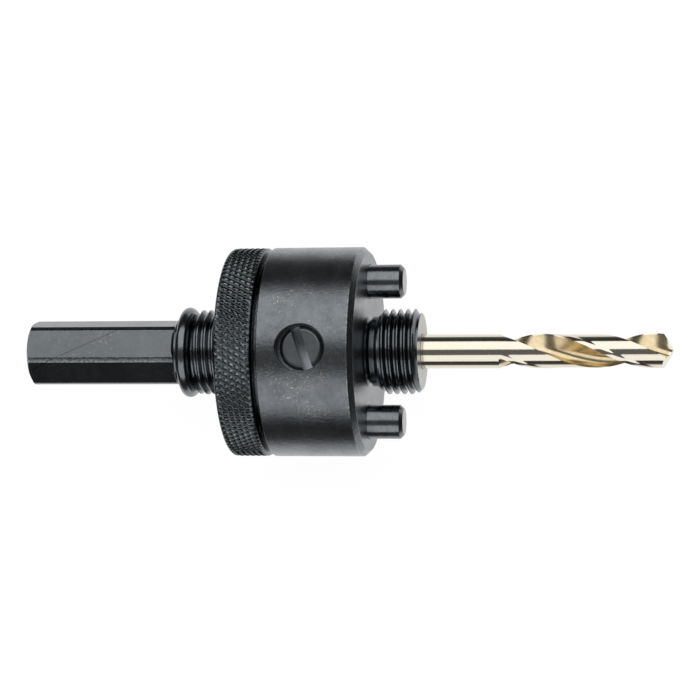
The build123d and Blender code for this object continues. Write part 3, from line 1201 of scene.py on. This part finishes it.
# White floor that the camera sees as plain white, while the shadow of the object still
# darkens it a little. Reflections see the white only as far out as the paper reaches
def makeFloor():
    half, height = studio["floorSize"] / 2 / mm, studio["floorHeight"]
    around = ((-half, -half), (half, -half), (half, half), (-half, half))
    corners = [(x, y, height) for x, y in around]
    item = meshObject("floor", corners, [(0, 1, 2, 3)])
    material = bpy.data.materials.new("paperFloor")
    material.use_nodes = True
    tree = material.node_tree
    tree.nodes.remove(tree.nodes["Principled BSDF"])
    path = tree.nodes.new("ShaderNodeLightPath").outputs
    place = tree.nodes.new("ShaderNodeTexCoord").outputs["Object"]
    shape = {0: place, 1: studio["paperShape"]}
    squeezed = addNode(tree, "ShaderNodeVectorMath", shape, operation="MULTIPLY").outputs[0]
    away = addNode(tree, "ShaderNodeVectorMath", {0: squeezed}, operation="LENGTH")
    near, far = studio["paperEdge"]
    paperEnd = remap(tree, away.outputs["Value"], far * mm, near * mm)
    mirrored = calculate(tree, "MULTIPLY", path["Is Glossy Ray"], paperEnd)
    lit = calculate(tree, "MAXIMUM", path["Is Camera Ray"], mirrored)
    strength = calculate(tree, "MULTIPLY", lit, studio["paperGlow"])
    direct = calculate(tree, "MAXIMUM", path["Is Camera Ray"], path["Is Glossy Ray"])
    white = {"Color": (1, 1, 1, 1), "Strength": strength}
    glow = addNode(tree, "ShaderNodeEmission", white).outputs[0]
    paper = addNode(tree, "ShaderNodeBsdfDiffuse", {"Color": studio["paperColour"]}).outputs[0]
    dim = addNode(tree, "ShaderNodeBsdfDiffuse", {"Color": studio["shadeColour"]}).outputs[0]
    seen = addNode(tree, "ShaderNodeAddShader", {0: dim, 1: glow}).outputs[0]
    mix = addNode(tree, "ShaderNodeMixShader", {0: direct, 1: paper, 2: seen}).outputs[0]
    feed(tree, mix, tree.nodes["Material Output"].inputs["Surface"])
    item.data.materials.append(material)


# White for the camera, and a low even fill for everything else
def makeWorld():
    world = bpy.data.worlds.new("studioWorld")
    bpy.context.scene.world = world
    world.use_nodes = True
    tree = world.node_tree
    fill = tree.nodes["Background"]
    fill.inputs["Color"].default_value = (1, 1, 1, 1)
    fill.inputs["Strength"].default_value = studio["worldFill"]
    values = {"Color": (1, 1, 1, 1), "Strength": 1.0}
    white = addNode(tree, "ShaderNodeBackground", values).outputs[0]
    direct = tree.nodes.new("ShaderNodeLightPath").outputs["Is Camera Ray"]
    shaders = {0: direct, 1: fill.outputs[0], 2: white}
    mix = addNode(tree, "ShaderNodeMixShader", shaders).outputs[0]
    feed(tree, mix, tree.nodes["World Output"].inputs["Surface"])


# Long softbox parallel to the object's axis, which fills the given angles as seen
# from the object. Its power gives the radiance asked for: power over pi and area
def makeSoftbox(name, edges, share=1.0):
    low, high = (radians(edge) for edge in edges)
    middle, spread = (low + high) / 2, (high - low) / 2
    distance = studio["boxDistance"]
    light = bpy.data.lights.new(name, "AREA")
    light.shape = "RECTANGLE"
    light.size = studio["boxLength"]
    light.size_y = 2 * distance * tan(spread)
    light.energy = share * studio["boxRadiance"] * pi * light.size * light.size_y
    item = bpy.data.objects.new(name, light)
    bpy.context.scene.collection.objects.link(item)
    backward = np.array([0, sin(middle), cos(middle)])
    upward = np.array([0, cos(middle), -sin(middle)])
    matrix = np.eye(4)
    matrix[:3, 0], matrix[:3, 1], matrix[:3, 2] = (1, 0, 0), upward, backward
    matrix[:3, 3] = backward * distance
    item.matrix_world = Matrix(matrix)
    item.visible_camera = False


view = {
    "aim": (-3.765, 0.326, 0.0),
    "offset": (80.775, -19.083, 452.955),
    "roll": -0.203,
    "focal": 2468.0,  # in pixels of a frame 700 wide
    "frame": 700.0,
}


# Camera that looks along its offset with +Y upwards, turned a little about its axis
def makeCamera():
    offset = np.array(view["offset"])
    backward = offset / np.linalg.norm(offset)
    right = np.cross([0, 1, 0], backward)
    right /= np.linalg.norm(right)
    upward = np.cross(backward, right)
    roll = radians(view["roll"])
    matrix = np.eye(4)
    matrix[:3, 0] = right * cos(roll) - upward * sin(roll)
    matrix[:3, 1] = right * sin(roll) + upward * cos(roll)
    matrix[:3, 2] = backward
    matrix[:3, 3] = (np.array(view["aim"]) + offset) * mm
    camera = bpy.data.cameras.new("camera")
    camera.sensor_width = 36.0
    camera.lens = view["focal"] / view["frame"] * camera.sensor_width
    item = bpy.data.objects.new("camera", camera)
    bpy.context.scene.collection.objects.link(item)
    item.matrix_world = Matrix(matrix)
    bpy.context.scene.camera = item


makeFloor()
makeWorld()
makeSoftbox("upperBox", studio["upperBox"])
makeSoftbox("lowerBox", studio["lowerBox"], studio["lowerShare"])
makeSoftbox("overhead", (studio["lowerBox"][1], studio["upperBox"][0]), studio["overheadShare"])
makeCamera()
bpy.context.scene.view_settings.view_transform = "Standard"
print("studio made")
